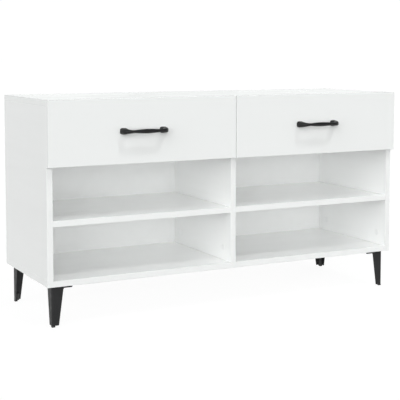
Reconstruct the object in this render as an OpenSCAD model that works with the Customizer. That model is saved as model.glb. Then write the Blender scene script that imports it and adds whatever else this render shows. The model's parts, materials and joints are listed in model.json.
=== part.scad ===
// Entryway bench: two drawers over four open shoe compartments, on four folded
// sheet-metal legs. Origin on the floor under the centre of the bounding box,
// drawers facing -Y, +Z up, all sizes in millimetres.

/* [Bench] */
// Overall width
bench_w = 1020; // [900:1:1200]
// Overall depth from the drawer fronts to the back panel, without the handles
bench_d = 350; // [345:1:420]
// Overall height from the floor to the seat
bench_h = 554; // [544:1:600]
// Thickness of the carcass boards and drawer fronts
board_t = 15; // [15:1:18]
// Thickness of the back panel and drawer bottoms
thin_t = 3; // [3:0.5:4]
// Width of the softened edge on every board
edge_soft = 0.5; // [0.2:0.1:1]

/* [Compartments] */
// Height of the drawer fronts
front_h = 161; // [155:1:165]
// Gap between the two drawer fronts
front_gap = 2; // [2:0.5:6]
// How far the drawer fronts hang below the decks
front_drop = 2; // [0:0.5:6]
// Clear height of each lower compartment
lower_h = 131; // [110:1:135]

/* [Drawers] */
// Thickness of the drawer box sides and back
box_t = 12; // [12:1:13]
// Height of the drawer box sides
box_h = 100; // [80:1:105]
// Length of the drawer box
box_len = 300; // [298:1:310]
// How far a drawer opens
drawer_travel = 225; // [100:5:230]

/* [Handles] */
// Distance between the centres of the two handle feet
handle_span = 107; // [96:1:160]
// How far both handles stand to the right of the middle of their drawer fronts
handle_shift = -8; // [-12:1:12]
// Height of the handle centre above the bottom of the drawer front
handle_rise = 81; // [60:1:100]
// Distance from the drawer front to the centre of the bar
handle_reach = 26; // [17:0.5:30]
// Radius of the bar at its middle
bar_r = 5.5; // [5:0.5:7]
// Radius of the bar at its two necks
neck_r = 3.5; // [3.2:0.1:4.5]
// Radius of each foot where it meets the drawer front
foot_r = 9.5; // [9:0.5:12]

/* [Legs] */
// Height of the legs with their glides
leg_h = 102; // [94:1:134]
// Distance from the carcass edges to the outer corner of each leg
leg_inset = 15; // [10:1:30]
// Width of each leg wing at the top
wing_top_w = 30; // [28:1:36]
// Width of each leg wing at the bottom
wing_foot_w = 18; // [17:0.5:24]
// Thickness of the leg sheet metal
sheet_t = 2; // [1.5:0.5:3]
// Length of the mounting flange from the corner
flange_len = 54; // [52:1:75]
// Height of the turned-down lip of the mounting flange
lip_h = 7; // [6:0.5:10]
// How far the plastic glide stands below the sheet metal
glide_drop = 4; // [2:0.5:6]

/* [Runners] */
// Gap between a drawer box and the carcass on each side
runner_gap = 12.5; // [12.5:0.1:13]
// Length of the carcass runner members
runner_len = 300; // [298:1:306]
// Thickness of the runner steel
runner_t = 0.9; // [0.8:0.1:1.1]
// Radius of the rollers on the carcass members
front_roller_r = 8.5; // [8.5:0.1:9]
// Radius of the rollers on the drawer members
rear_roller_r = 7; // [6.5:0.1:7]

/* [Hidden] */
$fn = 48;

// Clearance round fasteners in their holes
snug = 0.05;
// Colours
gloss_white = [0.95, 0.96, 0.95];
hardboard_white = [0.88, 0.89, 0.88];
coated_black = [0.15, 0.15, 0.16];
zinc = [0.72, 0.73, 0.75];
beech = [0.80, 0.64, 0.44];
plastic_white = [0.90, 0.90, 0.88];
runner_white = [0.86, 0.87, 0.86];

// Depth positions: the handles count in the bounding box
handle_out = handle_reach + bar_r;
front_y = -(bench_d + handle_out) / 2 + handle_out;
carcass_y0 = front_y + board_t;
back_y = front_y + bench_d;
carcass_y1 = back_y - thin_t;

// Width positions
half_w = bench_w / 2;
side_cx = half_w - board_t / 2;
bay_x0 = board_t / 2;
bay_x1 = half_w - board_t;
bay_cx = (bay_x0 + bay_x1) / 2;

// Heights of the boards
bottom_z1 = leg_h + board_t;
shelf_z0 = bottom_z1 + lower_h;
shelf_z1 = shelf_z0 + board_t;
front_z0 = bench_h - front_h;
deck_z0 = front_z0 + front_drop;
deck_z1 = deck_z0 + board_t;
top_z0 = bench_h - board_t;

// Cam fittings, dowels and shelf pins
cam_r = 7.5;
cam_depth = 12.4;
cam_reach = 34;
cam_setback = 40;
bolt_bore_r = 4;
bolt_thread_r = 2.9;
bolt_bite = 12;
deck_bolt_bite = 7;
dowel_r = 4;
dowel_half = 15;
dowel_bite = 10;
dowel_setback = 72;
pin_r = 2.5;
pin_bite = 7;
pin_tab = [9, 12, 2];
cam_ys = [carcass_y0 + cam_setback, carcass_y1 - cam_setback];
dowel_ys = [carcass_y0 + dowel_setback, carcass_y1 - dowel_setback];
// Each upright: centre x, and the side (+1 right, -1 left) that holds its cam locks
uprights = [[-side_cx, 1], [0, -1], [side_cx, -1]];

// Nails of the back panel
nail_r = 0.75;
nail_len = 18;
nail_head_r = 2.2;
nail_head_t = 0.6;
nail_xs = [-0.45, -0.225, 0, 0.225, 0.45] * bench_w;
nail_zs = [bottom_z1 + 60, (bottom_z1 + top_z0) / 2, top_z0 - 60];

// Leg screws: distances from the leg corner along the two wings
leg_screw_spots = [[13, 43], [43, 13], [36, 36]];
leg_screw_r = 2;
leg_screw_len = 12;
glide_w = 12;
glide_tip_w = 8.5;
flange_cut = 20;
screw_pad_r = 8;
glide_h = 18;

// Roller runners, along the bay wall: x from the wall towards the drawer
runner_y0 = carcass_y0 + 2;
runner_y1 = runner_y0 + runner_len;
roller_z = deck_z1 + 18;
front_roller_y = runner_y0 + 12;
channel_y0 = runner_y0 + 24;
rear_roller_y = runner_y1 - 12;
roller_play = 0.3;
channel_half = rear_roller_r + roller_play;
channel_w = 9.6;
rail_x0 = runner_gap - runner_t;
rail_len = box_len - 2;
rail_z1 = roller_z + front_roller_r + roller_play;
rail_in = 3;
axle_r = 2.2;
axle_play = 0.06;
axle_head_r = 3.4;
axle_head_t = 0.6;
axle_collar_r = 3.5;
axle_gap = 0.1;
front_roller_x = [3.4, 9.7];
rear_roller_x = [2.9, 9.4];
stop_size = [channel_w, 2, 3];
stop_gap = 2;
box_z0 = roller_z - 9;
box_z1 = box_z0 + box_h;
rail_screw_z = box_z0 + 6;
runner_screw_len = 11.5;
runner_screw_head_r = 3.2;
box_y1 = carcass_y0 + box_len;
runner_screw_r = 1.75;
runner_screw_ys = [[-112, 26, 132], [-100, 38, 120]];
rail_screw_ys = [-80, 100];

// Drawer bottom and its grooves
groove_z = box_z0 + 12;
groove_bite = 6;
groove_play = 0.2;
drawer_cam_depth = 9.4;
drawer_cam_reach = 24;
drawer_cam_bite = 10;
drawer_cam_zs = [box_z0 + 32, box_z1 - 20];
back_screw_r = 2.5;
back_screw_len = 40;
back_screw_zs = [box_z0 + 38, box_z1 - 18];

// Handles
handle_cx = (front_gap / 2 + half_w) / 2;
handle_z = front_z0 + handle_rise;
handle_screw_r = 2;
handle_screw_bite = 9;
neck_x = handle_span / 2 - 18;
elbow_r = min(bar_r, 0.63 * foot_r);

// ---- Shared shapes ----

// Rectangle with softened corners, centred
module soft_square(w, h) {
    c = edge_soft;
    polygon([
        [-w / 2 + c, -h / 2], [w / 2 - c, -h / 2], [w / 2, -h / 2 + c], [w / 2, h / 2 - c],
        [w / 2 - c, h / 2], [-w / 2 + c, h / 2], [-w / 2, h / 2 - c], [-w / 2, -h / 2 + c]
    ]);
}

// Board between two corners, with every edge softened
module board(low, high) {
    size = high - low;
    translate((low + high) / 2)
        intersection() {
            linear_extrude(size.z, center = true)
                soft_square(size.x, size.y);
            rotate([90, 0, 0])
                linear_extrude(size.y, center = true)
                    soft_square(size.x, size.z);
            rotate([90, 0, 90])
                linear_extrude(size.x, center = true)
                    soft_square(size.y, size.z);
        }
}

// Cylinder along +Z from z0 to z1
module rod(r, z0, z1) {
    translate([0, 0, z0])
        cylinder(r = r, h = z1 - z0);
}

// Children turned so that +Z points along +X, and +X points down
module along_x() {
    rotate([0, 90, 0])
        children();
}

// Children turned so that +Z points along +Y
module along_y() {
    rotate([-90, 0, 0])
        children();
}

// ---- Joint positions ----
// A joint frame has its origin in the middle of the butted end, +Z into the
// butted board and +X towards the face that holds the cam lock.

// Upper and lower ends of the uprights
module at_upright_ends(ys) {
    for (u = uprights, y = ys, end = [[bottom_z1, 0], [top_z0, 1]])
        translate([u[0], y, end[0]])
            mirror([u[1] < 0 ? 1 : 0, 0, 0])
                mirror([0, 0, end[1]])
                    children();
}

// Both ends of both decks
module at_deck_ends(ys) {
    for (bay = [-1, 1], end = [-1, 1], y = ys)
        translate([bay * bay_cx - end * (bay_x1 - bay_x0) / 2, y, deck_z0 + board_t / 2])
            mirror([end < 0 ? 1 : 0, 0, 0])
                along_x()
                    children();
}

// Shelf pin frames: origin on the upright face, +X out of the upright
module at_shelf_pins() {
    for (bay = [-1, 1], end = [-1, 1], y = cam_ys)
        translate([bay * bay_cx - end * (bay_x1 - bay_x0) / 2, y, shelf_z0])
            mirror([end < 0 ? 1 : 0, 0, 0])
                children();
}

// Nail frames: origin on the back face of the back panel, +Z out of it
module at_back_nails() {
    spots = concat(
        [for (x = nail_xs, z = [leg_h + board_t / 2, bench_h - board_t / 2]) [x, z]],
        [for (u = uprights, z = nail_zs) [u[0], z]],
        [for (bay = [-1, 1], z = [shelf_z0, deck_z0]) [bay * bay_cx, z + board_t / 2]]
    );
    for (spot = spots)
        translate([spot[0], back_y, spot[1]])
            along_y()
                children();
}

// Leg frames: origin at the outer corner under the bottom panel, +X and +Y
// along the two wings
module at_leg(right, rear) {
    x = half_w - leg_inset;
    y = rear ? carcass_y1 + thin_t - leg_inset : carcass_y0 + leg_inset;
    translate([right ? x : -x, y, leg_h])
        mirror([right ? 1 : 0, 0, 0])
            mirror([0, rear ? 1 : 0, 0])
                children();
}

module at_all_legs() {
    for (right = [false, true], rear = [false, true])
        at_leg(right, rear)
            children();
}

// Runner frame of one bay wall: x runs from the wall towards the drawer
module at_bay_wall(bay, wall) {
    translate([bay * bay_cx + wall * (bay_x1 - bay_x0) / 2, 0, 0])
        mirror([wall > 0 ? 1 : 0, 0, 0])
            children();
}

module at_bay_walls(bays) {
    for (bay = bays, wall = [-1, 1])
        at_bay_wall(bay, wall)
            children();
}

// Joints between a drawer front and the drawer sides
module at_drawer_cams(bay) {
    for (wall = [-1, 1], z = drawer_cam_zs)
        at_bay_wall(bay, wall)
            translate([runner_gap + box_t / 2, carcass_y0, z])
                along_y()
                    children();
}

// Screws through the drawer sides into the drawer back: +Z out of the side
module at_back_screws(bay) {
    for (wall = [-1, 1], z = back_screw_zs)
        at_bay_wall(bay, wall)
            translate([runner_gap, box_y1 - box_t / 2, z])
                rotate([0, -90, 0])
                    children();
}

// Screws through the drawer runner members into the drawer sides
module at_rail_screws(bay) {
    for (wall = [-1, 1], y = rail_screw_ys)
        at_bay_wall(bay, wall)
            translate([rail_x0, y, rail_screw_z])
                rotate([0, -90, 0])
                    children();
}

// Screws through the carcass runner members: +Z into the bay
module at_runner_screws(bay) {
    for (wall = [-1, 1], y = runner_screw_ys[bay < 0 ? 0 : 1])
        at_bay_wall(bay, wall)
            translate([runner_t, y, roller_z])
                along_x()
                    children();
}

// Handle frame: origin on the drawer front between the feet, +Z out of it
module at_handle(bay) {
    translate([bay * handle_cx + handle_shift, front_y, handle_z])
        rotate([90, 0, 0])
            children();
}

module at_handle_feet() {
    for (end = [-1, 1])
        translate([end * handle_span / 2, 0, 0])
            children();
}

// ---- Fasteners and their holes ----

// Round lock turned with a cross-head driver: it grips the head of a cam bolt
module cam_lock(thick, depth, reach) {
    translate([thick / 2, 0, reach])
        along_x()
            difference() {
                rod(cam_r - snug, -depth, 0);
                for (turn = [0, 90])
                    rotate([0, 0, turn])
                        translate([-4, -0.6, -1.6])
                            cube([8, 1.2, 2]);
                translate([0, 0, -thick / 2])
                    rotate([0, 90, 0])
                        rod(bolt_bore_r - 0.3, -1, cam_r + 1);
            }
}

module cam_bolt(bite, reach) {
    rod(bolt_thread_r, -bite, 0);
    rod(bolt_bore_r - 2 * snug, 0, 1.5);
    rod(bolt_bore_r - 1.5, 1.5, reach - 2);
    rod(bolt_bore_r - 0.5, reach - 3, reach);
}

// Hole for a cam lock and its bolt in the butted board
module cam_holes(thick, depth, reach) {
    rod(bolt_bore_r, -1, reach);
    translate([thick / 2, 0, reach])
        along_x()
            rod(cam_r, -depth, 1);
}

// Pilot hole of a cam bolt in the board that it is screwed into
module bolt_pilot(bite) {
    rod(bolt_thread_r + snug, -bite, 1);
}

module dowel_holes() {
    rod(dowel_r + snug, -dowel_bite, 2 * dowel_half - dowel_bite);
}

module dowel() {
    rod(dowel_r, -dowel_bite, 2 * dowel_half - dowel_bite);
}

// Pan-head screw with its head at z = 0 and its shank below
module pan_screw(r, len, head_r, head_t) {
    rod(r, -len, 0);
    rod(head_r, 0, head_t);
}

// Flush screw or nail: the head lies below z = 0
module flush_screw(r, len, head_r, head_t) {
    rod(r, -len, 0);
    rod(head_r, -head_t, 0);
}

module nail_holes() {
    rod(nail_r + snug, -nail_len, 1);
    rod(nail_head_r + snug, -nail_head_t, 1);
}

// ---- Carcass ----

module top_panel() {
    color(gloss_white)
        difference() {
            board([-half_w, carcass_y0, top_z0], [half_w, carcass_y1, bench_h]);
            at_upright_ends(cam_ys)
                bolt_pilot(bolt_bite);
            at_upright_ends(dowel_ys)
                dowel_holes();
            at_back_nails()
                nail_holes();
        }
}

module bottom_panel() {
    color(gloss_white)
        difference() {
            board([-half_w, carcass_y0, leg_h], [half_w, carcass_y1, bottom_z1]);
            at_upright_ends(cam_ys)
                bolt_pilot(bolt_bite);
            at_upright_ends(dowel_ys)
                dowel_holes();
            at_back_nails()
                nail_holes();
            at_all_legs()
                for (spot = leg_screw_spots)
                    translate([spot[0], spot[1], 0])
                        rod(leg_screw_r + snug, -1, leg_screw_len);
        }
}

// Upright board with the holes of every joint that meets it
module upright(cx) {
    color(gloss_white)
        difference() {
            board([cx - board_t / 2, carcass_y0, bottom_z1], [cx + board_t / 2, carcass_y1, top_z0]);
            at_upright_ends(cam_ys)
                cam_holes(board_t, cam_depth, cam_reach);
            at_upright_ends(dowel_ys)
                dowel_holes();
            at_deck_ends(cam_ys)
                bolt_pilot(deck_bolt_bite);
            at_shelf_pins()
                along_x()
                    translate([pin_r, 0, 0])
                        rod(pin_r + snug, -pin_bite, 1);
            at_back_nails()
                nail_holes();
            for (bay = [-1, 1])
                at_runner_screws(bay)
                    rod(runner_screw_r + snug, -runner_screw_len, 1);
        }
}

module shelf(bay) {
    color(gloss_white)
        difference() {
            board([bay * bay_cx - (bay_x1 - bay_x0) / 2, carcass_y0, shelf_z0],
                  [bay * bay_cx + (bay_x1 - bay_x0) / 2, carcass_y1, shelf_z1]);
            at_back_nails()
                nail_holes();
        }
}

// Board under the drawer of one bay
module deck(bay) {
    color(gloss_white)
        difference() {
            board([bay * bay_cx - (bay_x1 - bay_x0) / 2, carcass_y0, deck_z0],
                  [bay * bay_cx + (bay_x1 - bay_x0) / 2, carcass_y1, deck_z1]);
            at_deck_ends(cam_ys)
                cam_holes(board_t, cam_depth, cam_reach);
            at_back_nails()
                nail_holes();
        }
}

module back_panel() {
    margin = 2;
    color(hardboard_white)
        difference() {
            translate([-half_w + margin, carcass_y1, leg_h + margin])
                cube([bench_w - 2 * margin, thin_t, bench_h - leg_h - 2 * margin]);
            at_back_nails()
                nail_holes();
        }
}

module back_panel_nails() {
    color(zinc)
        at_back_nails()
            flush_screw(nail_r, nail_len, nail_head_r, nail_head_t);
}

module cam_locks() {
    color(zinc) {
        at_upright_ends(cam_ys)
            cam_lock(board_t, cam_depth, cam_reach);
        at_deck_ends(cam_ys)
            cam_lock(board_t, cam_depth, cam_reach);
    }
}

module cam_bolts() {
    color(zinc) {
        at_upright_ends(cam_ys)
            cam_bolt(bolt_bite, cam_reach);
        at_deck_ends(cam_ys)
            cam_bolt(deck_bolt_bite, cam_reach);
    }
}

module dowels() {
    color(beech)
        at_upright_ends(dowel_ys)
            dowel();
}

// Plug-in shelf pins with a flat tab under the shelf
module shelf_pins() {
    color(zinc)
        at_shelf_pins() {
            along_x()
                translate([pin_r, 0, 0])
                    rod(pin_r, -pin_bite, pin_tab.x);
            translate([0, -pin_tab.y / 2, -pin_tab.z])
                cube(pin_tab);
        }
}

// ---- Legs ----

// Outline of one leg wing with its lip: x from the corner, y up to the panel
module wing_outline() {
    fillet = 4;
    h = leg_h - glide_drop;
    end_r = lip_h / 2;
    difference() {
        polygon([
            [0, 0], [flange_len - end_r, 0], [flange_len - end_r, -lip_h],
            [wing_top_w + fillet, -lip_h], [wing_top_w, -lip_h - fillet],
            [wing_foot_w, -h], [0, -h]
        ]);
        translate([wing_top_w + fillet, -lip_h - fillet])
            circle(r = fillet);
    }
    translate([flange_len - end_r, -end_r])
        circle(r = end_r);
}

// Folded sheet-metal leg: two tapering wings and a flange under the bench
module leg() {
    color(coated_black)
        difference() {
            union() {
                translate([0, sheet_t, 0])
                    rotate([90, 0, 0])
                        linear_extrude(sheet_t)
                            wing_outline();
                mirror([1, -1, 0])
                    translate([0, sheet_t, 0])
                        rotate([90, 0, 0])
                            linear_extrude(sheet_t)
                                wing_outline();
                translate([0, 0, -sheet_t])
                    linear_extrude(sheet_t)
                        polygon([
                            [0, 0], [flange_len - lip_h / 2, 0], [flange_len - lip_h / 2, flange_cut],
                            [flange_cut, flange_len - lip_h / 2], [0, flange_len - lip_h / 2]
                        ]);
                translate([leg_screw_spots[2].x, leg_screw_spots[2].y, -sheet_t])
                    cylinder(r = screw_pad_r, h = sheet_t);
            }
            for (spot = leg_screw_spots)
                translate([spot[0], spot[1], 0])
                    rod(leg_screw_r + snug, -sheet_t - 1, 1);
        }
}

// Plastic glide pressed into the foot of each leg
module leg_glides() {
    low = -leg_h;
    sole = -leg_h + glide_drop;
    tip_round_r = 2.5;
    plug_round_r = 4;
    color(coated_black)
        at_all_legs() {
            translate([0, 0, low])
                linear_extrude(glide_drop)
                    glide_outline(0.6, glide_tip_w, tip_round_r);
            translate([0, 0, sole])
                linear_extrude(glide_h)
                    glide_outline(sheet_t, glide_w, plug_round_r);
        }
}

// Square with its inner corner rounded, standing off the leg corner by start
module glide_outline(start, w, r) {
    difference() {
        translate([start, start])
            square(w - start);
        translate([w - r, w - r])
            square(r + 1);
    }
    translate([w - r, w - r])
        intersection() {
            circle(r = r);
            square(r);
        }
}

module leg_screws() {
    color(zinc)
        at_all_legs()
            for (spot = leg_screw_spots)
                translate([spot[0], spot[1], -sheet_t])
                    mirror([0, 0, 1])
                        pan_screw(leg_screw_r, leg_screw_len + sheet_t - 0.5, 3.8, 2.2);
}

// ---- Roller runners ----

// Riveted axle along +Z: a collar from z0 to z1, then a pin and its head past z2
module axle(z0, z1, z2) {
    rod(axle_collar_r, min(z0, z1), max(z0, z1));
    rod(axle_r, min(z1, z2), max(z1, z2));
    rod(axle_head_r, z2 > z1 ? z2 : z2 - axle_head_t, z2 > z1 ? z2 + axle_head_t : z2);
}

// Carcass member: a channel with the front roller's axle
module carcass_runner(bay, wall) {
    plate_half = channel_half + runner_t;
    stop_y = rear_roller_y - drawer_travel - rear_roller_r - stop_gap - stop_size.y;
    color(runner_white)
        difference() {
            at_bay_wall(bay, wall) {
                translate([0, runner_y0, roller_z - plate_half])
                    cube([runner_t, runner_len, 2 * plate_half]);
                for (z = [-plate_half, channel_half])
                    translate([0, channel_y0, roller_z + z])
                        cube([channel_w, runner_y1 - channel_y0, runner_t]);
                // Stop for the drawer's roller
                translate([0, stop_y, roller_z + channel_half - stop_size.z])
                    cube(stop_size);
                translate([0, front_roller_y, roller_z])
                    along_x()
                        axle(0, front_roller_x[0] - axle_gap, front_roller_x[1] + axle_gap);
            }
            at_runner_screws(bay)
                rod(runner_screw_r + snug, -2, 1);
        }
}

module carcass_roller(bay, wall) {
    color(plastic_white)
        at_bay_wall(bay, wall)
            translate([0, front_roller_y, roller_z])
                along_x()
                    difference() {
                        rod(front_roller_r, front_roller_x[0], front_roller_x[1]);
                        rod(axle_r + axle_play, front_roller_x[0] - 1, front_roller_x[1] + 1);
                    }
}

module cabinet_runner_screws() {
    color(zinc)
        for (bay = [-1, 1])
            at_runner_screws(bay)
                pan_screw(runner_screw_r, runner_screw_len, runner_screw_head_r, 1);
}

// Drawer member: an angle under the drawer side with a rail on the front
// roller and an axle for the rear roller
module drawer_runner(bay, wall) {
    color(runner_white)
        difference() {
            at_bay_wall(bay, wall) {
                translate([rail_x0, runner_y0, box_z0 - runner_t])
                    cube([runner_t, rail_len, rail_z1 + 2 * runner_t - box_z0]);
                translate([rail_x0, runner_y0, box_z0 - runner_t])
                    cube([runner_t + box_t - 1, rail_len, runner_t]);
                translate([rail_in, runner_y0, rail_z1])
                    cube([runner_gap - rail_in, rail_len, runner_t]);
                translate([0, rear_roller_y, roller_z])
                    along_x()
                        axle(runner_gap, rear_roller_x[1] + axle_gap, rear_roller_x[0] - axle_gap);
            }
            at_rail_screws(bay)
                rod(runner_screw_r + snug, -2, 1);
        }
}

module drawer_roller(bay, wall) {
    color(plastic_white)
        at_bay_wall(bay, wall)
            translate([0, rear_roller_y, roller_z])
                along_x()
                    difference() {
                        rod(rear_roller_r, rear_roller_x[0], rear_roller_x[1]);
                        rod(axle_r + axle_play, rear_roller_x[0] - 1, rear_roller_x[1] + 1);
                    }
}

module drawer_runner_screws(bay) {
    color(zinc)
        at_rail_screws(bay)
            pan_screw(runner_screw_r, runner_screw_len, runner_screw_head_r, 0.7);
}

// ---- Drawers ----

// Space of the drawer bottom, with some play when it is cut as a groove
module bottom_sheet(bay, play) {
    half = (bay_x1 - bay_x0) / 2 - runner_gap - box_t + groove_bite - 0.2 + play;
    y0 = carcass_y0 - groove_bite + 0.2 - play;
    y1 = box_y1 - box_t + groove_bite - 0.2 + play;
    translate([bay * bay_cx - half, y0, groove_z])
        cube([2 * half, y1 - y0, thin_t + play]);
}

module drawer_front(bay) {
    inner = front_gap / 2;
    x0 = bay < 0 ? -half_w : inner;
    x1 = bay < 0 ? -inner : half_w;
    color(gloss_white)
        difference() {
            board([x0, front_y, front_z0], [x1, carcass_y0, bench_h]);
            bottom_sheet(bay, groove_play);
            at_drawer_cams(bay)
                bolt_pilot(drawer_cam_bite);
            at_handle(bay)
                at_handle_feet()
                    rod(handle_screw_r + 0.25, -board_t - 1, 1);
        }
}

module drawer_side(bay, wall) {
    color(gloss_white)
        difference() {
            at_bay_wall(bay, wall)
                board([runner_gap, carcass_y0, box_z0], [runner_gap + box_t, box_y1, box_z1]);
            bottom_sheet(bay, groove_play);
            at_drawer_cams(bay)
                cam_holes(box_t, drawer_cam_depth, drawer_cam_reach);
            at_back_screws(bay) {
                rod(back_screw_r + snug, -box_t - 1, 1);
                rod(3.5 + snug, -2, 1);
            }
            at_rail_screws(bay)
                rod(runner_screw_r + snug, -runner_screw_len, 1);
        }
}

module drawer_back(bay) {
    half = (bay_x1 - bay_x0) / 2 - runner_gap - box_t;
    color(gloss_white)
        difference() {
            board([bay * bay_cx - half, box_y1 - box_t, box_z0],
                  [bay * bay_cx + half, box_y1, box_z1]);
            bottom_sheet(bay, groove_play);
            at_back_screws(bay)
                rod(back_screw_r + snug, -back_screw_len - 0.5, 1);
        }
}

module drawer_bottom(bay) {
    color(hardboard_white)
        bottom_sheet(bay, 0);
}

module drawer_cam_locks(bay) {
    color(zinc)
        at_drawer_cams(bay)
            cam_lock(box_t, drawer_cam_depth, drawer_cam_reach);
}

module drawer_cam_bolts(bay) {
    color(zinc)
        at_drawer_cams(bay)
            cam_bolt(drawer_cam_bite - 0.5, drawer_cam_reach);
}

module drawer_back_screws(bay) {
    color(zinc)
        at_back_screws(bay)
            flush_screw(back_screw_r, back_screw_len, 3.5, 2);
}

// Smooth step from 0 to 1
function ease(t) = t * t * (3 - 2 * t);

// Bar radius at a distance x from its middle: a swelling between two necks,
// widening again into the feet
function bar_radius(x) = x < neck_x
    ? bar_r - (bar_r - neck_r) * ease(x / neck_x)
    : neck_r + (elbow_r - neck_r) * ease((x - neck_x) / (handle_span / 2 - neck_x));

// Foot radius at a distance z from the drawer front
function foot_radius(z) = z < 2.5
    ? foot_r
    : foot_r - (foot_r - elbow_r) * ease((z - 2.5) / (handle_reach - 2.5));

// Cast bow handle: two flared feet joined by a turned bar
module handle(bay) {
    bar_steps = 24;
    foot_steps = 8;
    color(coated_black)
        at_handle(bay)
            difference() {
                union() {
                    translate([0, 0, handle_reach])
                        along_x()
                            rotate_extrude()
                                polygon(concat(
                                    [for (i = [-bar_steps : bar_steps])
                                        let (x = i / bar_steps * handle_span / 2)
                                        [bar_radius(abs(x)), x]],
                                    [[0, handle_span / 2], [0, -handle_span / 2]]
                                ));
                    at_handle_feet() {
                        rotate_extrude()
                            polygon(concat(
                                [[0, 0]],
                                [for (i = [0 : foot_steps])
                                    let (z = i / foot_steps * handle_reach)
                                    [foot_radius(z), z]],
                                [[0, handle_reach]]
                            ));
                        translate([0, 0, handle_reach])
                            sphere(r = elbow_r);
                    }
                }
                at_handle_feet()
                    rod(handle_screw_r + snug, -1, handle_screw_bite + 1);
            }
}

module handle_screws(bay) {
    color(zinc)
        at_handle(bay)
            at_handle_feet()
                translate([0, 0, -board_t])
                    mirror([0, 0, 1])
                        pan_screw(handle_screw_r, board_t + handle_screw_bite, 4, 2.4);
}

// ---- Nodes ----

top_panel();
bottom_panel();
upright(-side_cx);  // left_side_panel
upright(side_cx);  // right_side_panel
upright(0);  // divider_panel
shelf(-1);  // left_shelf
shelf(1);  // right_shelf
deck(-1);  // left_deck_panel
deck(1);  // right_deck_panel
back_panel();
back_panel_nails();
cam_locks();
cam_bolts();
dowels();
shelf_pins();
at_leg(false, false) leg();  // front_left_leg
at_leg(true, false) leg();  // front_right_leg
at_leg(false, true) leg();  // rear_left_leg
at_leg(true, true) leg();  // rear_right_leg
leg_glides();
leg_screws();
carcass_runner(-1, -1);  // left_bay_left_runner
carcass_runner(-1, 1);  // left_bay_right_runner
carcass_runner(1, -1);  // right_bay_left_runner
carcass_runner(1, 1);  // right_bay_right_runner
carcass_roller(-1, -1);  // left_bay_left_roller
carcass_roller(-1, 1);  // left_bay_right_roller
carcass_roller(1, -1);  // right_bay_left_roller
carcass_roller(1, 1);  // right_bay_right_roller
cabinet_runner_screws();
drawer_front(-1);  // left_drawer_front
drawer_side(-1, -1);  // left_drawer_left_side
drawer_side(-1, 1);  // left_drawer_right_side
drawer_back(-1);  // left_drawer_back
drawer_bottom(-1);  // left_drawer_bottom
handle(-1);  // left_drawer_handle
handle_screws(-1);  // left_drawer_handle_screws
drawer_runner(-1, -1);  // left_drawer_left_runner
drawer_runner(-1, 1);  // left_drawer_right_runner
drawer_roller(-1, -1);  // left_drawer_left_roller
drawer_roller(-1, 1);  // left_drawer_right_roller
drawer_runner_screws(-1);  // left_drawer_runner_screws
drawer_cam_locks(-1);  // left_drawer_cam_locks
drawer_cam_bolts(-1);  // left_drawer_cam_bolts
drawer_back_screws(-1);  // left_drawer_back_screws
drawer_front(1);  // right_drawer_front
drawer_side(1, -1);  // right_drawer_left_side
drawer_side(1, 1);  // right_drawer_right_side
drawer_back(1);  // right_drawer_back
drawer_bottom(1);  // right_drawer_bottom
handle(1);  // right_drawer_handle
handle_screws(1);  // right_drawer_handle_screws
drawer_runner(1, -1);  // right_drawer_left_runner
drawer_runner(1, 1);  // right_drawer_right_runner
drawer_roller(1, -1);  // right_drawer_left_roller
drawer_roller(1, 1);  // right_drawer_right_roller
drawer_runner_screws(1);  // right_drawer_runner_screws
drawer_cam_locks(1);  // right_drawer_cam_locks
drawer_cam_bolts(1);  // right_drawer_cam_bolts
drawer_back_screws(1);  // right_drawer_back_screws
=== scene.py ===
"""Entryway bench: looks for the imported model. Everything is in metres in the model's own frame."""
import json
import math

import bmesh
import bpy
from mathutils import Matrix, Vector


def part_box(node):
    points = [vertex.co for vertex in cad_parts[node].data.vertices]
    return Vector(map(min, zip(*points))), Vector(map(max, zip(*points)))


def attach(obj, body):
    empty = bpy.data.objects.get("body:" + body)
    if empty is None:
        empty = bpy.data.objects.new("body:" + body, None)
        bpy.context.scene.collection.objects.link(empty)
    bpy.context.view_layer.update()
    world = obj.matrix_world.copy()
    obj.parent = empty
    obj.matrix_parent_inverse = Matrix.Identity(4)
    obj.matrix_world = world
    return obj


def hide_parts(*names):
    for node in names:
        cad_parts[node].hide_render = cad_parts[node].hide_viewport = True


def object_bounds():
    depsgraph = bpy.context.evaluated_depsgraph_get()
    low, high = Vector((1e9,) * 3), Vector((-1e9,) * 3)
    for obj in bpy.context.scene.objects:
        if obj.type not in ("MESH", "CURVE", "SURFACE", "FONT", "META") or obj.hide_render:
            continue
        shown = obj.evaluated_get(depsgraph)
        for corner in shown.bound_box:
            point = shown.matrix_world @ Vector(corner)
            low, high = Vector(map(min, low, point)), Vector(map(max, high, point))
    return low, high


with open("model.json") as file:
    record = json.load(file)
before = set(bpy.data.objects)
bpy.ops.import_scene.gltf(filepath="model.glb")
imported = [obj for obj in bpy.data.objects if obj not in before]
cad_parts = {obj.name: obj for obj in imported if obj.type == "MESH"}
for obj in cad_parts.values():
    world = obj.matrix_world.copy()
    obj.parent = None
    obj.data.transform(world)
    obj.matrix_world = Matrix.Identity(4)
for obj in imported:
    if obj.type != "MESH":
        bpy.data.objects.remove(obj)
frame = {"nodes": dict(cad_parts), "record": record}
cad_low, cad_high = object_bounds()
nodes = frame["nodes"]


# ---------------------------------------------------------------- camera and light

# Reference view: the eye stands to the left of the bench and looks slightly down on it
EYE = (-1.3147, -2.4732, 0.6704)
LENS = 92.88
TURN = 27.577
TILT = 4.404
SHIFT_UP = -0.175
# Faint cool tint of all the studio light
STUDIO_TINT = (0.982, 1.0, 0.991)
# Strength of the surroundings at the horizon and below it, and their share overhead
HORIZON_GLOW = 1.03
FLOOR_GLOW = 0.1
OVERHEAD_SHARE = 0.08
# Height of the view direction, as its z, over which the horizon and the overhead part fade
HORIZON_FADE = (-0.16, -0.03)
OVERHEAD_FADE = (0.10, 0.40)
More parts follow.
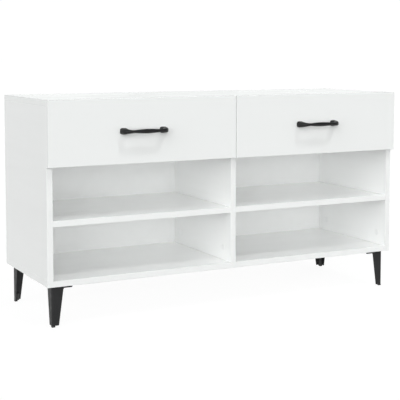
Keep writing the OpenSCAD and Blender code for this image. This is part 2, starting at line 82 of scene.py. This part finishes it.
# Bounces that carry light into the open compartments
ALL_BOUNCES = 16
DIFFUSE_BOUNCES = 14
FLOOR_HALF_SIZE = 60.0


def link_object(obj):
    """Puts an object into the scene and hands it back."""
    bpy.context.scene.collection.objects.link(obj)
    return obj


def make_camera():
    """Camera of the reference view; the shift keeps the bench in the frame at a small tilt."""
    data = bpy.data.cameras.new("camera")
    data.lens = LENS
    data.shift_y = SHIFT_UP
    camera = link_object(bpy.data.objects.new("camera", data))
    camera.location = EYE
    camera.rotation_euler = (math.radians(90 - TILT), 0, math.radians(-TURN))
    bpy.context.scene.camera = camera


def add_sun(name, azimuth, elevation, energy, spread):
    """Sun that shines from an azimuth (0 is the bench's front, 90 its right) and an elevation."""
    data = bpy.data.lights.new(name, "SUN")
    data.energy = energy
    data.color = STUDIO_TINT
    data.angle = math.radians(spread)
    lamp = link_object(bpy.data.objects.new(name, data))
    turn, rise = math.radians(azimuth), math.radians(elevation)
    level = math.cos(rise)
    travel = Vector((-math.sin(turn) * level, math.cos(turn) * level, -math.sin(rise)))
    lamp.rotation_euler = travel.to_track_quat("-Z", "Y").to_euler()


def make_studio():
    """White surroundings that are bright at the horizon and dim both below it and overhead."""
    world = bpy.data.worlds.new("studio")
    world.use_nodes = True
    tree = world.node_tree
    coords = tree.nodes.new("ShaderNodeTexCoord")
    split = tree.nodes.new("ShaderNodeSeparateXYZ")
    tree.links.new(coords.outputs["Generated"], split.inputs["Vector"])

    def fade(start, stop, low, high):
        """Goes from low to high as the view direction rises from start to stop."""
        node = tree.nodes.new("ShaderNodeMapRange")
        node.inputs["From Min"].default_value = start
        node.inputs["From Max"].default_value = stop
        node.inputs["To Min"].default_value = low
        node.inputs["To Max"].default_value = high
        tree.links.new(split.outputs["Z"], node.inputs["Value"])
        return node.outputs["Result"]

    product = tree.nodes.new("ShaderNodeMath")
    product.operation = "MULTIPLY"
    tree.links.new(fade(*HORIZON_FADE, FLOOR_GLOW, HORIZON_GLOW), product.inputs[0])
    tree.links.new(fade(*OVERHEAD_FADE, 1.0, OVERHEAD_SHARE), product.inputs[1])
    tree.links.new(product.outputs["Value"], tree.nodes["Background"].inputs["Strength"])
    tree.nodes["Background"].inputs["Color"].default_value = (*STUDIO_TINT, 1)
    scene = bpy.context.scene
    scene.world = world
    scene.view_settings.view_transform = "Standard"
    scene.cycles.max_bounces = ALL_BOUNCES
    scene.cycles.diffuse_bounces = DIFFUSE_BOUNCES


def make_light():
    """Soft white studio: a steep key and broad fills from the left, the front and the rear right."""
    make_studio()
    add_sun("key", 24, 60.6, 0.64, 9)
    add_sun("left_fill", -56, 25, 1.70, 60)
    add_sun("front_fill", -10, 14, 0.82, 45)
    add_sun("rear_fill", 118, 6, 0.8, 30)


def make_floor():
    """Pale floor that glows, so that only a faint trace of shadow stays on it."""
    mesh = bpy.data.meshes.new("floor")
    turns = ((-1, -1), (1, -1), (1, 1), (-1, 1))
    corners = [(x * FLOOR_HALF_SIZE, y * FLOOR_HALF_SIZE, 0) for x, y in turns]
    mesh.from_pydata(corners, [], [(0, 1, 2, 3)])
    floor = link_object(bpy.data.objects.new("floor", mesh))
    floor.data.materials.append(MATERIALS["floor"])
    floor.visible_diffuse = False
    floor.visible_shadow = False


# ---------------------------------------------------------------- materials

class Shader:
    """A node material built in a few calls."""

    def __init__(self, name):
        self.material = bpy.data.materials.new(name)
        self.material.use_nodes = True
        self.tree = self.material.node_tree
        self.surface = self.tree.nodes["Principled BSDF"]
        self.coords = self.add("ShaderNodeTexCoord").outputs["Object"]

    def add(self, kind, **settings):
        """New node of a kind, with its own settings."""
        node = self.tree.nodes.new(kind)
        for key, value in settings.items():
            setattr(node, key, value)
        return node

    def link(self, source, target):
        self.tree.links.new(source, target)

    def set(self, **values):
        """Sets constant inputs of the surface; an underscore stands for a space."""
        for key, value in values.items():
            self.surface.inputs[key.replace("_", " ")].default_value = value

    def noise(self, scale, detail=2.0, stretch=(1, 1, 1), rough=0.5):
        """Noise in the object's own metres: a larger scale is finer, a small stretch draws it out."""
        mapping = self.add("ShaderNodeMapping")
        mapping.inputs["Scale"].default_value = stretch
        self.link(self.coords, mapping.inputs["Vector"])
        node = self.add("ShaderNodeTexNoise")
        node.inputs["Scale"].default_value = scale
        node.inputs["Detail"].default_value = detail
        node.inputs["Roughness"].default_value = rough
        self.link(mapping.outputs["Vector"], node.inputs["Vector"])
        return node.outputs["Fac"]

    def ramp(self, factor, low, high, start=0.3, stop=0.7):
        """Maps a factor to a value between low and high."""
        node = self.add("ShaderNodeMapRange")
        node.inputs["From Min"].default_value = start
        node.inputs["From Max"].default_value = stop
        node.inputs["To Min"].default_value = low
        node.inputs["To Max"].default_value = high
        self.link(factor, node.inputs["Value"])
        return node.outputs["Result"]

    def colour(self, factor, low, high, start=0.3, stop=0.7):
        """Maps a factor to a colour between two colours."""
        node = self.add("ShaderNodeMix", data_type="RGBA")
        node.inputs["A"].default_value = (*low, 1)
        node.inputs["B"].default_value = (*high, 1)
        self.link(self.ramp(factor, 0, 1, start, stop), node.inputs["Factor"])
        self.link(node.outputs["Result"], self.surface.inputs["Base Color"])

    def roughness(self, factor, low, high, start=0.3, stop=0.7):
        """Maps a factor to the surface's roughness."""
        self.link(self.ramp(factor, low, high, start, stop), self.surface.inputs["Roughness"])

    def bump(self, height, distance, strength=1.0):
        """Tilts the normals by a height field of a depth in metres."""
        node = self.add("ShaderNodeBump")
        node.inputs["Distance"].default_value = distance
        node.inputs["Strength"].default_value = strength
        self.link(height, node.inputs["Height"])
        self.link(node.outputs["Normal"], self.surface.inputs["Normal"])


def white(level):
    """Near-neutral white of the boards at a level."""
    return (level * 0.998, level, level * 0.999)


def gloss_board(name, grain, level, contrast):
    """High-gloss white foil with a barely visible streaked print and a slight orange peel."""
    shader = Shader(name)
    shader.colour(shader.noise(11, 6, grain, 0.65), white(level - contrast), white(level))
    shader.roughness(shader.noise(6, 3), 0.07, 0.16)
    shader.bump(shader.noise(140, 2), 0.0004, 0.05)
    return shader.material


def satin_board(name, level):
    """Satin white foil of the boards inside the drawers."""
    shader = Shader(name)
    shader.colour(shader.noise(30, 4), white(level - 0.015), white(level))
    shader.roughness(shader.noise(60, 3), 0.36, 0.46)
    shader.bump(shader.noise(900, 3), 0.0002, 0.25)
    return shader.material


def hardboard():
    """White-painted face of the thin fibre boards."""
    shader = Shader("hardboard")
    shader.colour(shader.noise(18, 5), white(0.92), white(0.955))
    shader.roughness(shader.noise(40, 3), 0.35, 0.5)
    shader.bump(shader.noise(700, 4), 0.0002, 0.3)
    return shader.material


def powder_coat():
    """Fine-grained satin black of the sheet legs."""
    shader = Shader("powder_coat")
    shader.set(Specular_IOR_Level=0.30)
    shader.colour(shader.noise(25, 3), (0.008, 0.008, 0.009), (0.013, 0.013, 0.014))
    shader.roughness(shader.noise(80, 3), 0.42, 0.55)
    shader.bump(shader.noise(1400, 2), 0.0002, 0.35)
    return shader.material


def cast_black():
    """Slightly uneven black of the cast handles."""
    shader = Shader("cast_black")
    shader.set(Specular_IOR_Level=0.24)
    shader.colour(shader.noise(60, 4), (0.007, 0.007, 0.008), (0.013, 0.013, 0.013))
    shader.roughness(shader.noise(120, 3), 0.32, 0.46)
    shader.bump(shader.noise(320, 4), 0.0004, 0.3)
    return shader.material


def plastic(name, low, high, rough):
    """Moulded plastic between two close colours."""
    shader = Shader(name)
    shader.colour(shader.noise(70, 3), low, high)
    shader.roughness(shader.noise(200, 2), rough - 0.04, rough + 0.06)
    shader.bump(shader.noise(1800, 2), 0.0001, 0.25)
    return shader.material


def runner_coat():
    """Off-white paint of the steel drawer runners."""
    shader = Shader("runner_coat")
    shader.colour(shader.noise(40, 3), (0.74, 0.75, 0.74), (0.80, 0.81, 0.80))
    shader.roughness(shader.noise(150, 3), 0.30, 0.42)
    shader.bump(shader.noise(1100, 2), 0.0001, 0.3)
    return shader.material


def zinc():
    """Zinc plate of the screws and cam locks, patchy in tone and shine."""
    shader = Shader("zinc_plate")
    shader.set(Metallic=1.0)
    shader.colour(shader.noise(90, 4), (0.58, 0.60, 0.64), (0.74, 0.75, 0.77))
    shader.roughness(shader.noise(300, 3), 0.24, 0.38)
    shader.bump(shader.noise(900, 2), 0.0001, 0.2)
    return shader.material


def beech():
    """Bare beech of the dowels, with a drawn-out grain."""
    shader = Shader("beech")
    shader.colour(shader.noise(160, 5, (1, 1, 0.08)), (0.52, 0.34, 0.19), (0.70, 0.50, 0.31))
    shader.roughness(shader.noise(300, 3), 0.5, 0.65)
    shader.bump(shader.noise(500, 4, (1, 1, 0.1)), 0.0003, 0.4)
    return shader.material


def floor_paint():
    """Dark paint under a strong glow: near white, and it takes only a faint shadow."""
    shader = Shader("floor_paint")
    shader.colour(shader.noise(1.5, 2), (0.10, 0.10, 0.10), (0.12, 0.12, 0.12))
    shader.set(Roughness=0.85, Emission_Color=(1, 1, 1, 1), Emission_Strength=0.92)
    return shader.material


# Noise stretch of the print: across the width of the bench, or from its front to its back
ALONG_WIDTH = (0.10, 1.5, 1.5)
ALONG_DEPTH = (1.5, 0.10, 1.5)
MATERIALS = {
    "board_lying": gloss_board("board_lying", ALONG_WIDTH, 0.965, 0.03),
    "board_standing": gloss_board("board_standing", ALONG_DEPTH, 0.965, 0.03),
    # The fronts are the carcass foil made a little darker (0.94 against 0.965), which is painted
    # shade; their print is nearly plain
    "board_front": gloss_board("board_front", ALONG_WIDTH, 0.94, 0.006),
    "drawer_board": satin_board("drawer_board", 0.93),
    "hardboard": hardboard(),
    "powder_coat": powder_coat(),
    "cast_black": cast_black(),
    "glide": plastic("glide", (0.010, 0.010, 0.010), (0.015, 0.015, 0.015), 0.5),
    # The caps are off-white plastic, made darker than the boards as painted shade so that the domes
    # don't come out brighter than the board around them
    "cap": plastic("cap", white(0.84), white(0.87), 0.35),
    "runner_coat": runner_coat(),
    "roller": plastic("roller", (0.72, 0.72, 0.68), (0.80, 0.80, 0.76), 0.4),
    "zinc": zinc(),
    "beech": beech(),
    "floor": floor_paint(),
}
SLOT_MATERIAL = {
    "drawer_board": "drawer_board", "hardboard": "hardboard", "beech": "beech",
    "black_leg_steel": "powder_coat", "black_cast_metal": "cast_black",
    "glide_plastic": "glide", "runner_steel": "runner_coat",
    "roller_plastic": "roller", "zinc_plated_steel": "zinc",
}


# A board narrower than this from left to right stands upright
STANDING_WIDTH = 0.05


def board_material(name):
    """Fronts are nearly plain and a little darker as painted shade; the carcass boards show a faint
    print.
    """
    if name.endswith("_front"):
        return MATERIALS["board_front"]
    low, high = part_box(name)
    standing = high.x - low.x < STANDING_WIDTH
    return MATERIALS["board_standing" if standing else "board_lying"]


def dress_cad_nodes():
    """Gives every CAD node the material of its slot."""
    for part in frame["record"]["subparts"]:
        name, slot = part["node"], part["material_slot"]
        if slot == "white_lacquer_board":
            material = board_material(name)
        else:
            material = MATERIALS[SLOT_MATERIAL[slot]]
        node = nodes[name]
        node.data.materials.clear()
        node.data.materials.append(material)


# ---------------------------------------------------------------- meshes

SMOOTH_ANGLE = math.radians(40)
BEVEL_ANGLE = math.radians(35)


def make_piece(name, bm, material, body):
    """Turns a bmesh into a piece that rides on a body and wears one of the materials."""
    bmesh.ops.recalc_face_normals(bm, faces=bm.faces)
    mesh = bpy.data.meshes.new(name)
    bm.to_mesh(mesh)
    bm.free()
    mesh.materials.append(MATERIALS[material])
    mesh.shade_smooth()
    mesh.set_sharp_from_angle(angle=SMOOTH_ANGLE)
    piece = link_object(bpy.data.objects.new(name, mesh))
    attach(piece, body)
    return piece


def soften(piece, width):
    """Rounds the sharp edges of a piece by a small width."""
    bevel = piece.modifiers.new("soft_edges", "BEVEL")
    bevel.width = width
    bevel.segments = 2
    bevel.limit_method = "ANGLE"
    bevel.angle_limit = BEVEL_ANGLE
    bevel.harden_normals = True


def bridge(bm, ring_a, ring_b):
    """Joins two rings of the same number of vertices with a band of faces."""
    count = len(ring_a)
    for i in range(count):
        j = (i + 1) % count
        bm.faces.new((ring_a[i], ring_a[j], ring_b[j], ring_b[i]))


def skin(bm, rings):
    """Joins a row of rings into a tube and closes both of its ends."""
    for first, second in zip(rings, rings[1:]):
        bridge(bm, first, second)
    bm.faces.new(rings[0])
    bm.faces.new(rings[-1])


# ---- handles

# The straight neck and the bend together are the reach of the bar's centre from the front
HANDLE_OUT = 0.0110
HANDLE_BEND = 0.0150
NECK_R = 0.0037
# The thinnest place lies this far past the bend
NECK_PAST_BEND = 0.0055
# The foot is a rounded square, where 2 would be a circle; its height is a share of its width, and
# that flatness stays full for a third of the way to the neck
FOOT_SQUARENESS = 3.4
FOOT_HEIGHT_SHARE = 0.85
FLATNESS_FADE = 1.5
FOOT_EDGE = 0.0006
OUT_STEPS, BEND_STEPS, BAR_STEPS = 4, 12, 16
HANDLE_SIDES = 40


def handle_radius(run, foot_r, bar_r, neck_run, middle_run):
    """Radius of the bow at a run from its foot: a flared foot, a neck and a swelling bar."""
    if run < neck_run:
        share = 0.5 + 0.5 * math.cos(math.pi * run / neck_run)
        return NECK_R + (foot_r - NECK_R) * share
    share = math.sin(math.pi / 2 * (run - neck_run) / (middle_run - neck_run))
    return NECK_R + (bar_r - NECK_R) * share


def handle_path(half_span):
    """Half of the bow, from a foot to the middle, as rows of (run, along, out, angle)."""
    bend_length = HANDLE_BEND * math.pi / 2
    points = []
    for i in range(OUT_STEPS):
        run = HANDLE_OUT * i / OUT_STEPS
        points.append((run, half_span, run, 0.0))
    for i in range(BEND_STEPS + 1):
        angle = math.pi / 2 * i / BEND_STEPS
        along = half_span - HANDLE_BEND * (1 - math.cos(angle))
        out = HANDLE_OUT + HANDLE_BEND * math.sin(angle)
        points.append((HANDLE_OUT + bend_length * i / BEND_STEPS, along, out, angle))
    straight = half_span - HANDLE_BEND
    for i in range(1, BAR_STEPS + 1):
        run = HANDLE_OUT + bend_length + straight * i / BAR_STEPS
        along = straight * (1 - i / BAR_STEPS)
        points.append((run, along, HANDLE_OUT + HANDLE_BEND, math.pi / 2))
    return points


def make_handle(side):
    """Cast bow handle in one piece, swept from foot to foot."""
    node = side + "_drawer_handle"
    low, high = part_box(node)
    centre = (low + high) / 2
    face_y, foot_r = high.y, (high.z - low.z) / 2
    half_span = (high.x - low.x) / 2 - foot_r
    bar_r = high.y - low.y - HANDLE_OUT - HANDLE_BEND
    half = handle_path(half_span)
    middle_run, neck_run = half[-1][0], HANDLE_OUT + HANDLE_BEND * math.pi / 2 + NECK_PAST_BEND
    bm = bmesh.new()

    def ring(run, along, out, angle, sign, shrink=0.0):
        """Cross section: a rounded square at the foot that turns into a circle at the neck."""
        radius = handle_radius(run, foot_r, bar_r, neck_run, middle_run) - shrink
        foot_share = max(0.0, 1 - run / neck_run)
        power = 2 + (FOOT_SQUARENESS - 2) * foot_share
        height = 1 - (1 - FOOT_HEIGHT_SHARE) * min(1.0, FLATNESS_FADE * foot_share)
        verts = []
        for i in range(HANDLE_SIDES):
            spin = math.tau * i / HANDLE_SIDES
            across, up = math.cos(spin), math.sin(spin)
            stretch = radius / (abs(across) ** power + abs(up) ** power) ** (1 / power)
            x = along + stretch * across * math.cos(angle)
            y = out + stretch * across * math.sin(angle)
            z = stretch * up * height
            verts.append(bm.verts.new((centre.x + sign * x, face_y - y, centre.z + z)))
        return verts

    rings = []
    for sign in (1, -1):
        stations = [(0, half_span, 0, 0.0, sign, FOOT_EDGE),
                    (FOOT_EDGE, half_span, FOOT_EDGE, 0.0, sign, 0.0)]
        stations += [(*point, sign) for point in half[1:]]
        if sign < 0:
            stations = stations[:-1][::-1]
        rings += [ring(*station) for station in stations]
    skin(bm, rings)
    piece = make_piece(side + "_bow_handle", bm, "cast_black", side + "_drawer")
    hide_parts(node)


# ---- legs

# A wing is WING_TOP wide below its root fillet and WING_FOOT wide at the floor; the lip under
# the flange is LIP_H high
LIP_H = 0.007
WING_TOP = 0.030
WING_FOOT = 0.018
WING_FILLET = 0.004
SHEET = 0.002
BEND_R = 0.0035
# Half of the fold's arc, and how much shorter that is than the way to a sharp corner
FOLD_HALF = BEND_R * math.pi / 4
FOLD_SAVING = BEND_R - FOLD_HALF
# The plate on top is cut across its free corner and keeps a round pad for the screw there
FLANGE_CUT = 0.020
PAD_AT = 0.036
PAD_R = 0.008
PAD_STEPS = 8
# Places of the columns of vertices: along the level foot, and as shares of the tapering edge
FOOT_STATIONS = (0.004, 0.012, WING_FOOT)
TAPER_SHARES = (0.35, 0.7, 1.0)
WING_FILLET_STEPS = 5
LIP_END_STEPS = 6
# Spread over a little more than the steps, so that the lip ends in a narrow face
LIP_END_SPREAD = 6.3
FOLD_STEPS = 4
LEG_EDGE = 0.0004
GLIDE_EDGE = 0.0005


def wing_stations(flange, drop):
    """Rows of (run, top, bottom): the heights of the sheet at a run from the folded corner."""
    rows = [(run, 0, -drop) for run in FOOT_STATIONS]
    climb = drop - LIP_H - WING_FILLET
    for share in TAPER_SHARES:
        rows.append((WING_FOOT + (WING_TOP - WING_FOOT) * share, 0, share * climb - drop))
    for i in range(1, WING_FILLET_STEPS + 1):
        angle = math.pi / 2 * i / WING_FILLET_STEPS
        rows.append((
            WING_TOP + WING_FILLET * (1 - math.cos(angle)), 0,
            -LIP_H - WING_FILLET * (1 - math.sin(angle))))
    end_r = LIP_H / 2
    for i in range(LIP_END_STEPS + 1):
        angle = math.pi / 2 * i / LIP_END_SPREAD
        rise = end_r * math.cos(angle)
        rows.append((flange - end_r + end_r * math.sin(angle), rise - end_r, -rise - end_r))
    return rows


def fold(run, inset):
    """Plan position at a signed run from the fold, on a face of the sheet that lies inset inward."""
    sign, far = (1, run) if run >= 0 else (-1, -run)
    if far >= FOLD_HALF:
        along, across = far + FOLD_SAVING, inset
    else:
        angle = math.pi / 4 * (1 - far / FOLD_HALF)
        radius = BEND_R - inset
        along = BEND_R - radius * math.sin(angle)
        across = BEND_R - radius * math.cos(angle)
    return (along, across) if sign > 0 else (across, along)


def make_leg(node):
    """Folded sheet leg: two tapering wings round a soft bend, and the screwed flange on top."""
    low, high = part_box(node)
    corner_x, inward_x = (high.x, -1) if low.x > 0 else (low.x, 1)
    corner_y, inward_y = (high.y, -1) if low.y > 0 else (low.y, 1)
    top, drop, flange = high.z, high.z - low.z, high.x - low.x
    wing = [(run - FOLD_SAVING, up, down) for run, up, down in wing_stations(flange, drop)]
    bend = [(FOLD_HALF * i / FOLD_STEPS, 0, -drop) for i in range(1 - FOLD_STEPS, FOLD_STEPS)]
    rows = [(-run, up, down) for run, up, down in wing[::-1]] + bend + wing
    bm = bmesh.new()

    def place(along, across, z):
        return bm.verts.new((corner_x + inward_x * along, corner_y + inward_y * across, top + z))

    columns = []
    for run, up, down in rows:
        outer, inner = fold(run, 0), fold(run, SHEET)
        corners = ((*outer, up), (*outer, down), (*inner, down), (*inner, up))
        columns.append([place(*corner) for corner in corners])
    skin(bm, columns)
    near, far = SHEET, flange - LIP_H / 2
    pad = []
    for i in range(PAD_STEPS + 1):
        turn = math.pi * (i / PAD_STEPS - 0.25)
        pad.append((PAD_AT + PAD_R * math.cos(turn), PAD_AT + PAD_R * math.sin(turn)))
    outline = [(near, near), (far, near), (far, FLANGE_CUT), *pad, (FLANGE_CUT, far), (near, far)]
    skin(bm, [[place(x, y, z) for x, y in outline] for z in (0, -SHEET)])
    name = node.replace("_leg", "_folded_leg")
    piece = make_piece(name, bm, "powder_coat", "carcass")
    soften(piece, LEG_EDGE)
    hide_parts(node)


# ---- cover caps

CAP_R = 0.0085
CAP_RISE = 0.0008
CAP_SIDES = 32
SAME_POINT = 0.00001


def islands(node):
    """Lowest and highest corner of each separate solid in a node."""
    bm = bmesh.new()
    bm.from_mesh(node.data)
    bmesh.ops.remove_doubles(bm, verts=bm.verts, dist=SAME_POINT)
    seen, found = set(), []
    for start in bm.verts:
        if start in seen:
            continue
        seen.add(start)
        stack, points = [start], []
        while stack:
            vert = stack.pop()
            points.append(vert.co.copy())
            for edge in vert.link_edges:
                other = edge.other_vert(vert)
                if other not in seen:
                    seen.add(other)
                    stack.append(other)
        low = Vector(min(point[axis] for point in points) for axis in range(3))
        high = Vector(max(point[axis] for point in points) for axis in range(3))
        found.append((low, high))
    bm.free()
    return found


def add_cap(bm, centre, outward):
    """Low dome with a rounded rim, lying on a board face."""
    profile = [(CAP_R, 0.0), (CAP_R, 0.4 * CAP_RISE), (CAP_R - 0.0003, 0.8 * CAP_RISE),
               (CAP_R - 0.001, 0.95 * CAP_RISE), (0.5 * CAP_R, CAP_RISE)]
    turn = Vector((0, 0, 1)).rotation_difference(outward).to_matrix()
    rings = []
    for radius, rise in profile:
        ring = []
        for i in range(CAP_SIDES):
            spin = math.tau * i / CAP_SIDES
            point = Vector((radius * math.cos(spin), radius * math.sin(spin), rise))
            ring.append(bm.verts.new(centre + turn @ point))
        rings.append(ring)
    skin(bm, rings)


def make_cover_caps():
    """Push-on plastic covers over the carcass cam locks."""
    bm = bmesh.new()
    for low, high in islands(nodes["cam_locks"]):
        size, centre = high - low, (low + high) / 2
        if size.z < size.x:
            outward = Vector((0, 0, -1))
        else:
            outward = Vector((1 if centre.x < cad_low.x / 2 else -1, 0, 0))
        reach = size.z / 2 if outward.z else size.x / 2
        add_cap(bm, centre + outward * reach, outward)
    make_piece("cam_lock_covers", bm, "cap", "carcass")


# ---------------------------------------------------------------- the bench

make_camera()
make_light()
make_floor()
dress_cad_nodes()
for side in ("left", "right"):
    make_handle(side)
for name in ("front_left_leg", "front_right_leg", "rear_left_leg", "rear_right_leg"):
    make_leg(name)
make_cover_caps()
soften(nodes["leg_glides"], GLIDE_EDGE)
